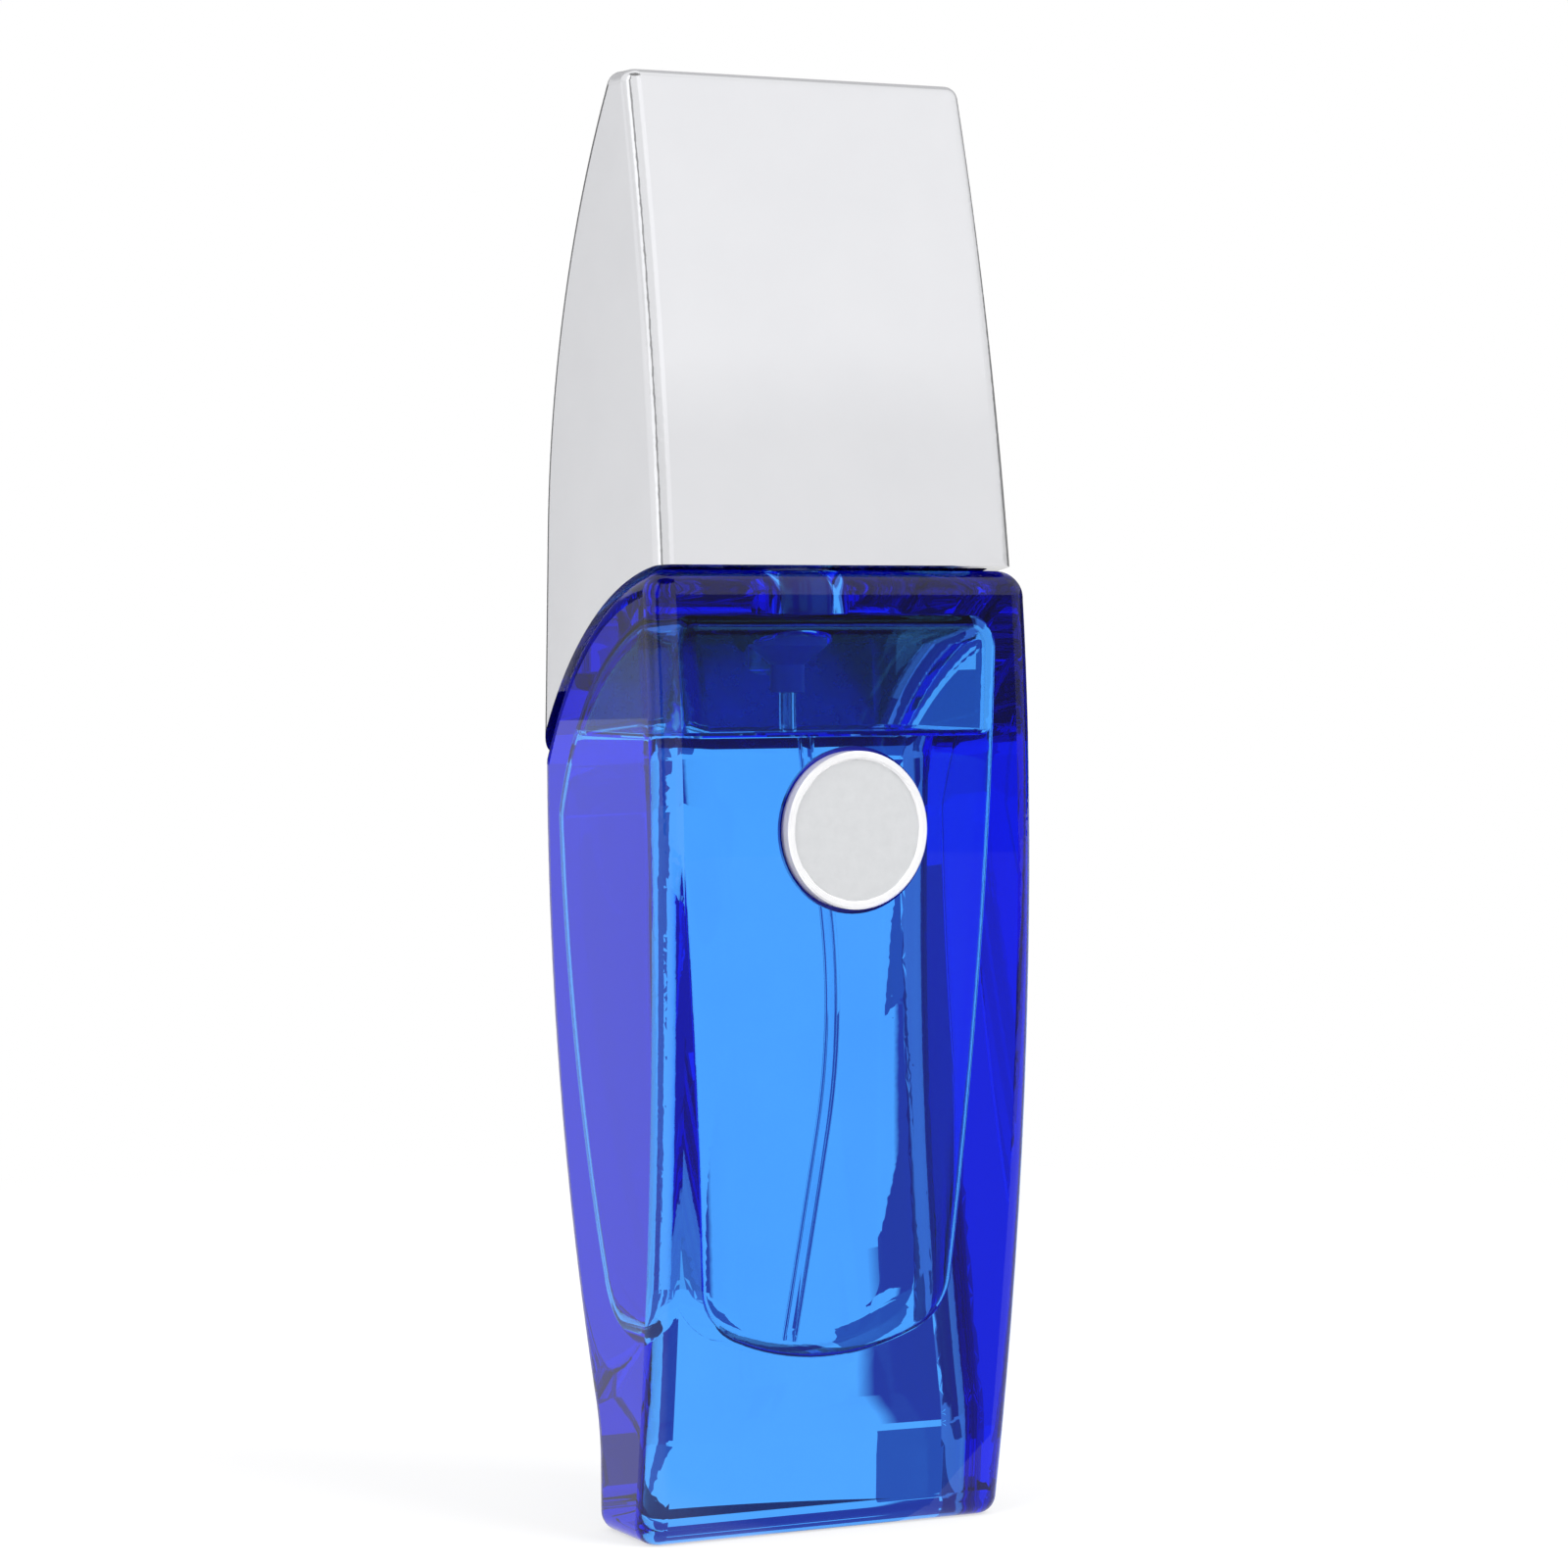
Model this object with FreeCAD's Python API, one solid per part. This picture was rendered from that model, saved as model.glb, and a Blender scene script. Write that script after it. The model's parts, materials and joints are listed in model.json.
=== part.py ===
import FreeCAD, Part
import math
import os

from FreeCAD import Vector

os.makedirs("parts", exist_ok=True)

# All sizes are millimetres and degrees. The front faces -Y, and the Z axis is the pump's axis.
overall_height = 160.0

# Glass body, seen from the side: an arched front, a back that curves under to a narrow foot.
body_depth = 34.1
waist_height = 70.0
front_low_radius = 400.0
front_high_radius = 305.0
back_straight = 2.7
foot_depth = 14.0
foot_height = 7.5
foot_blend_radius = 18.0
shoulder_crown_height = 106.1
shoulder_crown_lead = 0.85
shoulder_fall = 21.4

# Glass body, seen from the front and from above.
body_width = 47.2
body_side_angle = 0.42
body_plan_angle = 3.0
glass_front_edge_radius = 2.6
glass_back_edge_radius = 3.0
glass_shoulder_edge_radius = 3.0
glass_foot_edge_radius = 2.2

# Hollow of the bottle.
front_wall = 3.0
back_wall = 2.0
side_wall = 2.4
shoulder_wall = 4.2
hollow_side_angle = 4.2
hollow_back_step = 23.0
hollow_floor_height = 19.5
hollow_floor_radius = 28.0
hollow_floor_edge_radius = 7.0
hollow_edge_radius = 3.5
fill_height = 88.0

# Medallion in its pocket on the front.
medallion_radius = 8.6
medallion_height = 77.5
medallion_proud = 1.0
medallion_rim_width = 0.9
medallion_rim_rise = 0.35
medallion_rim_bevel = 0.2
pocket_clearance = 0.5
pocket_depth = 0.9
adhesive_thickness = 0.15
adhesive_margin = 0.6

# Neck.
neck_radius = 6.6
neck_rise = 7.5
bead_radius = 7.35
bead_height = 3.4
bead_edge_radius = 0.6
neck_bore_radius = 4.9

# Crimp pump.
gasket_thickness = 1.0
housing_radius = 4.4
housing_bore_radius = 3.3
housing_flange_radius = 7.1
housing_flange_thickness = 1.4
ferrule_wall = 0.45
crimp_grip = 0.5
assembly_fit = 0.03
guide_plug_depth = 3.0
guide_boss_radius = 2.95
guide_boss_rise = 1.3
boss_clearance = 0.1
seal_thickness = 0.8
stem_radius = 1.9
stem_bore_radius = 0.7
stem_pin_radius = 1.3
stem_pin_tip = 1.0
stem_flange_radius = 2.7
stem_flange_thickness = 0.8
stem_fit = 0.05
stem_rest_gap = 0.05
piston_length = 4.0
piston_fit = 0.04
piston_waist = 0.35
piston_lip = 0.8
stroke = 4.2
spring_length = 9.0
spring_radius = 2.3
spring_wire_radius = 0.22
spring_turns = 5
ball_radius = 1.1
ball_chamber_radius = 1.6
ball_seat_radius = 0.7
ball_seat_clearance = 0.03
housing_floor = 1.2
tail_radius = 1.9
tail_length = 3.0

# Dip tube.
tube_radius = 0.92
tube_bore_radius = 0.55
tube_straight = 6.0
tube_bow_right = 4.2
tube_bow_forward = 0.6
tube_bow_height = 57.0
tube_tip_left = 2.4
tube_tip_forward = 2.0
tube_floor_gap = 1.1
tube_bend_share = 0.45

# Collar over the crimp.
collar_wall = 0.3
collar_gap = 1.0
liner_wall = 0.3
liner_lip = 0.3
liner_lift = 0.3
collar_hole_clearance = 0.5
collar_edge_radius = 0.25

# Spray head.
head_radius = 6.3
head_height = 8.4
head_gap = 0.6
head_wall = 0.45
head_edge_radius = 0.8
hub_radius = 3.2
hub_recess = 0.5
skirt_recess = 0.2
core_roof = 3.6
core_skirt_wall = 0.9
socket_depth = 4.0
socket_gap = 0.1
nozzle_radius = 1.5
nozzle_length = 2.2
nozzle_inset = 0.15
nozzle_orifice_radius = 0.2
nozzle_drop = 2.4
spray_channel_radius = 0.5
window_clearance = 0.3

# Cap, seen from the side and from the front.
cap_front_radius = 372.0
cap_front_apex_height = 63.6
cap_front_setback = 0.6
cap_back_bend_height = 110.0
cap_top_depth = 5.4
cap_width = 44.2
cap_side_angle = -0.85
cap_plan_angle = 1.5
cap_gap = 0.3
cap_edge_radius = 1.7
cap_inner_edge_radius = 1.0
cap_top_edge_radius = 1.6
cap_wall = 2.0
cap_roof = 5.0
insert_fit = 0.05
insert_seat_gap = 0.3
insert_wall = 1.1
insert_lead = 0.5
insert_head_clearance = 0.4
insert_tube_wall = 0.6
insert_plate_thickness = 2.0
insert_plate_gap = 1.2

# Margin by which cutting blocks reach past what they cut.
reach = 40.0
snap = 0.02

# The Z axis stands midway between the medallion's face and the back of the bottle.
front_y = -(body_depth - medallion_proud) / 2
back_y = front_y + body_depth


class Round:
    """A circle in the side view, with its centre at (y, z)."""

    def __init__(self, y, z, radius):
        self.y = y
        self.z = z
        self.radius = radius

    def grown(self, step):
        return Round(self.y, self.z, self.radius + step)

    def y_at(self, z, side):
        return self.y + side * math.sqrt(self.radius**2 - (z - self.z)**2)

    def z_at(self, y):
        return self.z + math.sqrt(self.radius**2 - (y - self.y)**2)

    def holds(self, point):
        return abs(math.hypot(point.y - self.y, point.z - self.z) - self.radius) < snap

    def arc(self, start, end):
        first = math.atan2(start.z - self.z, start.y - self.y)
        sweep = math.atan2(end.z - self.z, end.y - self.y) - first
        sweep = (sweep + math.pi) % (2 * math.pi) - math.pi
        middle = first + sweep / 2
        y = self.y + self.radius * math.cos(middle)
        z = self.z + self.radius * math.sin(middle)
        return Part.Arc(start, side_point(y, z), end).toShape()

    def meets(self, other):
        """The upper crossing with another circle."""
        dy = other.y - self.y
        dz = other.z - self.z
        apart = math.hypot(dy, dz)
        along = (apart**2 + self.radius**2 - other.radius**2) / (2 * apart)
        across = math.copysign(math.sqrt(self.radius**2 - along**2), dy)
        y = self.y + (dy * along - dz * across) / apart
        z = self.z + (dz * along + dy * across) / apart
        return side_point(y, z)


def side_point(y, z):
    return Vector(0, y, z)


def radius_of(run, fall):
    """Radius of an arc that starts level and falls away by a given depth over its run."""
    return (run**2 + fall**2) / (2 * fall)


def straight(start, end):
    return Part.LineSegment(start, end).toShape()


def prism(edges):
    """Extrude a closed outline of the side view, both ways along X."""
    face = Part.Face(Part.Wire(edges))
    face.translate(Vector(-reach, 0, 0))
    return face.extrude(Vector(2 * reach, 0, 0))


def trim_sides(block, width, lean, plan_taper):
    """Cut a block to two mirrored side planes, width apart at the front of the shoulder crown."""
    def plane_x(y, z):
        rise = (z - shoulder_crown_height) * math.tan(math.radians(lean))
        return width / 2 + rise - (y - front_y) * math.tan(math.radians(plan_taper))

    low, high = -reach, overall_height + reach
    near, far = front_y - reach, back_y + reach
    corners = [(near, low), (far, low), (far, high), (near, high), (near, low)]
    face = Part.Face(Part.makePolygon([Vector(plane_x(y, z), y, z) for y, z in corners]))
    right = face.extrude(Vector(2 * reach, 0, 0))
    left = right.mirror(Vector(0, 0, 0), Vector(1, 0, 0))
    return block.cut([right, left]).Solids[0]


def side_faces(solid):
    """The two leaning planes that bound a block left and right."""
    planes = [face for face in solid.Faces if isinstance(face.Surface, Part.Plane)]
    return [face for face in planes if abs(face.normalAt(0, 0).x) > 0.9]


def middle_of(edge):
    return edge.valueAt((edge.FirstParameter + edge.LastParameter) / 2)


def round_edges(solid, radius, belongs):
    """Round the edges of the side faces whose middle point passes a test."""
    edges = [edge for face in side_faces(solid) for edge in face.Edges if belongs(middle_of(edge))]
    return solid.makeFillet(radius, edges)


def round_face(solid, radius, picks):
    """Round all edges of the one face that passes a test."""
    face = next(face for face in solid.Faces if picks(face))
    return solid.makeFillet(radius, face.Edges)


def turned(points):
    """Revolve a closed profile of (radius, height) points about the Z axis."""
    corners = [Vector(radius, 0, height) for radius, height in points]
    face = Part.Face(Part.makePolygon(corners + corners[:1]))
    return face.revolve(Vector(0, 0, 0), Vector(0, 0, 1), 360)


def ring(inner, outer, bottom, top):
    return turned([(inner, bottom), (outer, bottom), (outer, top), (inner, top)])


def rod(radius, bottom, top):
    return Part.makeCylinder(radius, top - bottom, Vector(0, 0, bottom))


def round_circles(solid, radius, spots):
    """Round the full-circle edges at the given (radius, height) places."""
    def wanted(edge):
        curve = edge.Curve
        if not isinstance(curve, Part.Circle):
            return False
        return any(abs(curve.Radius - r) < snap and abs(curve.Center.z - z) < snap for r, z in spots)

    return solid.makeFillet(radius, [edge for edge in solid.Edges if wanted(edge)])


def forward_rod(radius, height, start_y, end_y):
    """A rod along Y at the given height, on the middle plane."""
    return Part.makeCylinder(radius, end_y - start_y, Vector(0, start_y, height), Vector(0, 1, 0))


# Side-view circles that the glass, the hollow and the cap share.
front_low = Round(front_y + front_low_radius, waist_height, front_low_radius)
front_high = Round(front_y + front_high_radius, waist_height, front_high_radius)
shoulder_radius = radius_of(shoulder_crown_lead + body_depth, shoulder_fall)
shoulder = Round(front_y - shoulder_crown_lead, shoulder_crown_height - shoulder_radius, shoulder_radius)

# The back curves under from below the shoulder, until it meets the hollow curve above the foot.
foot_front_y = front_low.y_at(0, -1)
foot_back_y = foot_front_y + foot_depth
foot_blend = Round(foot_back_y + foot_blend_radius, foot_height, foot_blend_radius)
back_bend_height = shoulder.z_at(back_y) - back_straight
back_fall = back_bend_height - foot_height
back_out = foot_blend.y - back_y
back_low_radius = (back_out**2 + back_fall**2 - foot_blend_radius**2) / (2 * (foot_blend_radius - back_out))
back_low = Round(back_y - back_low_radius, back_bend_height, back_low_radius)

# Radii of the crimp and the collar, each fitted over the one before.
ferrule_bore = bead_radius + assembly_fit
ferrule_radius = ferrule_bore + ferrule_wall
liner_bore = ferrule_radius + assembly_fit
liner_radius = liner_bore + liner_wall
collar_bore = liner_radius + assembly_fit
collar_radius = collar_bore + collar_wall
boss_hole_radius = guide_boss_radius + boss_clearance
collar_hole_radius = guide_boss_radius + collar_hole_clearance
socket_radius = stem_radius + stem_fit
core_radius = head_radius - head_wall - assembly_fit

# Heights of the stack on the pump's axis, from the shoulder up.
collar_bottom = shoulder.z_at(-collar_radius) + collar_gap
neck_top = collar_bottom + neck_rise
flange_bottom = neck_top + gasket_thickness
flange_top = flange_bottom + housing_flange_thickness
ferrule_top = flange_top + ferrule_wall
liner_top = ferrule_top + liner_lip
collar_top = liner_top + collar_wall
head_bottom = collar_top + stroke + head_gap
head_top = head_bottom + head_height

core_top = head_top - head_wall
hub_bottom = head_bottom + hub_recess
stem_top = hub_bottom + socket_depth
nozzle_height = head_top - nozzle_drop
nozzle_back = -(core_radius - nozzle_length)

# Heights inside the pump, from the guide down.
seal_top = flange_top - guide_plug_depth
seal_bottom = seal_top - seal_thickness
stem_shoulder = seal_bottom - stem_rest_gap
piston_top = stem_shoulder - stem_flange_thickness
spring_top = piston_top - piston_length
spring_bottom = spring_top - spring_length
seat_rim = spring_bottom - ball_radius
seat_bottom = seat_rim - (ball_chamber_radius - ball_seat_radius)
tail_top = seat_bottom - housing_floor
tail_bottom = tail_top - tail_length
ball_ring = ball_radius / math.sqrt(2)
ball_height = seat_bottom - ball_seat_radius + 2 * ball_ring + ball_seat_clearance

# Depths across the medallion, from the front of the glass inwards.
pocket_floor = front_y + pocket_depth
medallion_back = pocket_floor - adhesive_thickness
medallion_face = front_y - medallion_proud


def glass_outline():
    base_front = side_point(foot_front_y, 0)
    waist = side_point(front_y, waist_height)
    top_front = front_high.meets(shoulder)
    top_back = side_point(back_y, shoulder.z_at(back_y))
    back_bend = side_point(back_y, back_bend_height)
    share = back_low_radius / (back_low_radius + foot_blend_radius)
    blend_top_y = back_low.y + (foot_blend.y - back_low.y) * share
    blend_top_z = back_low.z + (foot_blend.z - back_low.z) * share
    blend_top = side_point(blend_top_y, blend_top_z)
    blend_bottom = side_point(foot_back_y, foot_height)
    base_back = side_point(foot_back_y, 0)
    return [
        front_low.arc(base_front, waist),
        front_high.arc(waist, top_front),
        shoulder.arc(top_front, top_back),
        straight(top_back, back_bend),
        back_low.arc(back_bend, blend_top),
        foot_blend.arc(blend_top, blend_bottom),
        straight(blend_bottom, base_back),
        straight(base_back, base_front),
    ]


def glass_block():
    block = trim_sides(prism(glass_outline()), body_width, body_side_angle, body_plan_angle)
    middle_y = foot_front_y + foot_depth / 2

    def upright(point):
        return point.z > snap and not shoulder.holds(point)

    block = round_edges(block, glass_front_edge_radius, lambda p: upright(p) and p.y < middle_y)
    block = round_edges(block, glass_back_edge_radius, lambda p: upright(p) and p.y > middle_y)
    block = round_face(block, glass_shoulder_edge_radius, is_shoulder_face)
    return round_face(block, glass_foot_edge_radius, lambda face: face.BoundBox.ZMax < snap)


def is_shoulder_face(face):
    surface = face.Surface
    return isinstance(surface, Part.Cylinder) and abs(surface.Radius - shoulder_radius) < snap


def hollow_outline():
    front_in_low = front_low.grown(-front_wall)
    front_in_high = front_high.grown(-front_wall)
    shoulder_in = shoulder.grown(-shoulder_wall)
    back_in_radius = back_low_radius - hollow_back_step
    back_in = Round(back_y - back_wall - back_in_radius, back_bend_height, back_in_radius)
    floor_front = side_point(front_in_low.y_at(hollow_floor_height, -1), hollow_floor_height)
    waist = side_point(front_y + front_wall, waist_height)
    top_front = front_in_high.meets(shoulder_in)
    top_back = back_in.meets(shoulder_in)
    floor_back = side_point(back_in.y_at(hollow_floor_height, 1), hollow_floor_height)
    return [
        front_in_low.arc(floor_front, waist),
        front_in_high.arc(waist, top_front),
        shoulder_in.arc(top_front, top_back),
        back_in.arc(top_back, floor_back),
        straight(floor_back, floor_front),
    ]


def hollow_block():
    arch_height = hollow_floor_height + hollow_floor_radius
    block = trim_sides(prism(hollow_outline()), body_width - 2 * side_wall, hollow_side_angle, 0)
    arch = forward_rod(hollow_floor_radius, arch_height, front_y - reach, back_y + reach)
    above = Part.makeBox(2 * reach, 4 * reach, 4 * reach, Vector(-reach, front_y - reach, arch_height))
    block = block.common(arch.fuse(above)).Solids[0]

    def on_arch(point):
        return abs(math.hypot(point.x, point.z - arch_height) - hollow_floor_radius) < snap

    block = round_edges(block, hollow_floor_edge_radius, on_arch)
    return block.makeFillet(hollow_edge_radius, sharp_edges(block))


def sharp_edges(solid):
    """Edges at which two faces meet at a visible angle."""
    found = []
    for edge in solid.Edges:
        point = middle_of(edge)
        faces = solid.ancestorsOfType(edge, Part.Face)
        normals = [face.normalAt(*face.Surface.parameter(point)) for face in faces]
        if len(normals) == 2 and normals[0].getAngle(normals[1]) > math.radians(5):
            found.append(edge)
    return found


def neck():
    foot = shoulder.z_at(neck_radius) - shoulder_wall / 2
    under = neck_top - bead_height
    solid = turned([
        (0, foot),
        (neck_radius, foot),
        (neck_radius, under),
        (bead_radius, under + bead_radius - neck_radius),
        (bead_radius, neck_top),
        (0, neck_top),
    ])
    return round_circles(solid, bead_edge_radius, [(bead_radius, neck_top)])


def glass_bottle():
    bore_foot = shoulder.grown(-2 * shoulder_wall).z_at(neck_bore_radius)
    bore = rod(neck_bore_radius, bore_foot, neck_top)
    pocket_radius = medallion_radius + pocket_clearance
    pocket = forward_rod(pocket_radius, medallion_height, front_y - reach, pocket_floor)
    return glass_block().fuse(neck()).cut([hollow_block(), bore, pocket]).removeSplitter().Solids[0]


def aftershave_liquid():
    side = 4 * reach
    below = Part.makeBox(side, side, side, Vector(-side / 2, -side / 2, fill_height - side))
    return hollow_block().common(below).cut(tube_along(tube_radius)).Solids[0]


def face_forward(solid, y, height):
    """Turn a solid made about the Z axis to point to the front, with its foot at y."""
    solid.rotate(Vector(0, 0, 0), Vector(1, 0, 0), 90)
    solid.translate(Vector(0, y, height))
    return solid


def medallion_disc():
    thick = medallion_back - medallion_face
    field = medallion_radius - medallion_rim_width
    solid = turned([
        (0, 0),
        (medallion_radius, 0),
        (medallion_radius, thick - medallion_rim_bevel),
        (medallion_radius - medallion_rim_bevel, thick),
        (field + medallion_rim_bevel, thick),
        (field, thick - medallion_rim_rise),
        (0, thick - medallion_rim_rise),
    ])
    return face_forward(solid, medallion_back, medallion_height)


def medallion_adhesive():
    film = rod(medallion_radius - adhesive_margin, 0, adhesive_thickness)
    return face_forward(film, pocket_floor, medallion_height)


def neck_gasket():
    return ring(neck_bore_radius, housing_flange_radius, neck_top, flange_bottom)


def pump_housing():
    tube_socket = tube_radius + assembly_fit
    return turned([
        (housing_flange_radius, flange_bottom),
        (housing_flange_radius, flange_top),
        (housing_bore_radius, flange_top),
        (housing_bore_radius, spring_bottom),
        (ball_chamber_radius, spring_bottom),
        (ball_chamber_radius, seat_rim),
        (ball_seat_radius, seat_bottom),
        (ball_seat_radius, tail_top),
        (tube_socket, tail_top),
        (tube_socket, tail_bottom),
        (tail_radius, tail_bottom),
        (tail_radius, tail_top),
        (housing_radius, seat_rim),
        (housing_radius, flange_bottom),
    ])


def crimp_ferrule():
    bend = neck_top - bead_height + bead_radius - neck_radius
    lip = bend - ferrule_wall / 2
    return turned([
        (boss_hole_radius, flange_top),
        (ferrule_bore, flange_top),
        (ferrule_bore, bend),
        (ferrule_bore - crimp_grip, bend - crimp_grip),
        (ferrule_radius - crimp_grip, lip - crimp_grip),
        (ferrule_radius, lip),
        (ferrule_radius, ferrule_top),
        (boss_hole_radius, ferrule_top),
    ])


def stem_guide():
    plug = housing_bore_radius - assembly_fit
    boss_top = ferrule_top + guide_boss_rise
    return turned([
        (socket_radius, seal_top),
        (plug, seal_top),
        (plug, flange_top),
        (guide_boss_radius, flange_top),
        (guide_boss_radius, boss_top),
        (socket_radius, boss_top),
    ])


def stem_seal():
    return ring(socket_radius, housing_bore_radius - assembly_fit, seal_bottom, seal_top)


def pump_stem():
    pin_bottom = spring_top - stem_pin_tip
    return turned([
        (0, pin_bottom),
        (stem_pin_radius, pin_bottom),
        (stem_pin_radius, piston_top),
        (stem_flange_radius, piston_top),
        (stem_flange_radius, stem_shoulder),
        (stem_radius, stem_shoulder),
        (stem_radius, stem_top),
        (stem_bore_radius, stem_top),
        (stem_bore_radius, stem_shoulder),
        (0, stem_shoulder),
    ])


def pump_piston():
    bore = stem_pin_radius + assembly_fit
    lip = housing_bore_radius - piston_fit
    waist = lip - piston_waist
    return turned([
        (bore, spring_top),
        (lip, spring_top),
        (lip, spring_top + piston_lip),
        (waist, spring_top + piston_lip + piston_waist),
        (waist, piston_top - piston_lip - piston_waist),
        (lip, piston_top - piston_lip),
        (lip, piston_top),
        (bore, piston_top),
    ])


def return_spring():
    height = spring_length - 2 * spring_wire_radius
    path = Part.makeHelix(height / spring_turns, height, spring_radius)
    path.translate(Vector(0, 0, spring_bottom + spring_wire_radius))
    start = path.Edges[0]
    heading = start.tangentAt(start.FirstParameter)
    section = Part.Circle(start.valueAt(start.FirstParameter), heading, spring_wire_radius)
    return Part.Wire(path.Edges).makePipeShell([Part.Wire(section.toShape())], True, True)


def inlet_ball():
    return Part.makeSphere(ball_radius, Vector(0, 0, ball_height))


def rounded_path(corners):
    """Straight runs through the corners, each corner eased by an arc as large as its runs allow."""
    edges = []
    at = corners[0]
    for before, corner, after in zip(corners, corners[1:], corners[2:]):
        back = before - corner
        ahead = after - corner
        setback = tube_bend_share * min(back.Length, ahead.Length)
        back.normalize()
        ahead.normalize()
        half_turn = (math.pi - back.getAngle(ahead)) / 2
        bisector = back + ahead
        bisector.normalize()
        rise = setback / math.tan(half_turn) * (1 / math.cos(half_turn) - 1)
        edges.append(straight(at, corner + back * setback))
        at = corner + ahead * setback
        edges.append(Part.Arc(corner + back * setback, corner + bisector * rise, at).toShape())
    edges.append(straight(at, corners[-1]))
    return Part.Wire(edges)


def tube_along(radius):
    """A solid round bar along the dip tube's route, from the housing's tail to near the floor."""
    start = Vector(0, 0, tail_top)
    bend = Vector(0, 0, tail_bottom - tube_straight)
    bow = Vector(tube_bow_right, -tube_bow_forward, tube_bow_height)
    tip = Vector(-tube_tip_left, -tube_tip_forward, hollow_floor_height + tube_floor_gap)
    path = rounded_path([start, bend, bow, tip])
    section = Part.Wire(Part.Circle(start, Vector(0, 0, -1), radius).toShape())
    return path.makePipeShell([section], True, False)


def dip_tube():
    return tube_along(tube_radius).cut(tube_along(tube_bore_radius)).Solids[0]


def collar_liner():
    return turned([
        (liner_bore, collar_bottom + liner_lift),
        (liner_radius, collar_bottom + liner_lift),
        (liner_radius, liner_top),
        (collar_hole_radius, liner_top),
        (collar_hole_radius, ferrule_top),
        (liner_bore, ferrule_top),
    ])


def collar_sleeve():
    solid = turned([
        (collar_bore, collar_bottom),
        (collar_radius, collar_bottom),
        (collar_radius, collar_top),
        (collar_hole_radius, collar_top),
        (collar_hole_radius, liner_top),
        (collar_bore, liner_top),
    ])
    return round_circles(solid, collar_edge_radius, [(collar_radius, collar_top)])


def head_core():
    socket_top = stem_top + socket_gap
    recess_top = core_top - core_roof
    skirt = core_radius - core_skirt_wall
    solid = turned([
        (socket_radius, hub_bottom),
        (hub_radius, hub_bottom),
        (hub_radius, recess_top),
        (skirt, recess_top),
        (skirt, head_bottom + skirt_recess),
        (core_radius, head_bottom + skirt_recess),
        (core_radius, core_top),
        (0, core_top),
        (0, socket_top),
        (socket_radius, socket_top),
    ])
    seat = forward_rod(nozzle_radius + assembly_fit, nozzle_height, -reach, nozzle_back)
    riser = rod(spray_channel_radius, socket_top, nozzle_height)
    channel = forward_rod(spray_channel_radius, nozzle_height, nozzle_back, 0)
    return solid.cut([seat, riser, channel]).Solids[0]


def head_shell():
    bore = head_radius - head_wall
    solid = turned([
        (bore, head_bottom),
        (head_radius, head_bottom),
        (head_radius, head_top),
        (0, head_top),
        (0, core_top),
        (bore, core_top),
    ])
    solid = round_circles(solid, head_edge_radius, [(head_radius, head_top)])
    window = forward_rod(nozzle_radius + window_clearance, nozzle_height, -reach, nozzle_back)
    return solid.cut(window).Solids[0]


def nozzle_insert():
    face = -(head_radius - nozzle_inset)
    body = forward_rod(nozzle_radius, nozzle_height, face, nozzle_back)
    return body.cut(forward_rod(nozzle_orifice_radius, nozzle_height, face, nozzle_back))


# The back of the cap arches forward until the top has its depth.
cap_front = Round(front_y + cap_front_setback + cap_front_radius, cap_front_apex_height, cap_front_radius)
cap_top_front_y = cap_front.y_at(overall_height, -1)
cap_back_draw = back_y - cap_top_front_y - cap_top_depth
cap_back_radius = radius_of(overall_height - cap_back_bend_height, cap_back_draw)
cap_back = Round(back_y - cap_back_radius, cap_back_bend_height, cap_back_radius)


def cap_block():
    lifted = shoulder.grown(cap_gap)
    bottom_front = cap_front.meets(lifted)
    bottom_back = side_point(back_y, lifted.z_at(back_y))
    top_front = side_point(cap_top_front_y, overall_height)
    top_back = side_point(cap_top_front_y + cap_top_depth, overall_height)
    back_bend = side_point(back_y, cap_back_bend_height)
    outline = [
        cap_front.arc(bottom_front, top_front),
        straight(top_front, top_back),
        cap_back.arc(top_back, back_bend),
        straight(back_bend, bottom_back),
        lifted.arc(bottom_back, bottom_front),
    ]
    block = trim_sides(prism(outline), cap_width, cap_side_angle, cap_plan_angle)

    def upright(point):
        return point.z < overall_height - snap and not lifted.holds(point)

    block = round_edges(block, cap_edge_radius, upright)
    return round_face(block, cap_top_edge_radius, lambda face: face.BoundBox.ZMin > overall_height - snap)


def cap_hollow():
    front = cap_front.grown(-cap_wall)
    back = cap_back.grown(-cap_wall)
    inner_y = back_y - cap_wall
    ceiling = overall_height - cap_roof
    low_front = side_point(front.y_at(waist_height, -1), waist_height)
    low_back = side_point(inner_y, waist_height)
    top_front = side_point(front.y_at(ceiling, -1), ceiling)
    top_back = side_point(back.y_at(ceiling, 1), ceiling)
    back_bend = side_point(inner_y, cap_back_bend_height)
    outline = [
        front.arc(low_front, top_front),
        straight(top_front, top_back),
        back.arc(top_back, back_bend),
        straight(back_bend, low_back),
        straight(low_back, low_front),
    ]
    block = trim_sides(prism(outline), cap_width - 2 * cap_wall, cap_side_angle, cap_plan_angle)
    return block.makeFillet(cap_inner_edge_radius, sharp_edges(block))


def cap_shell():
    return cap_block().cut(cap_hollow()).Solids[0]


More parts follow.
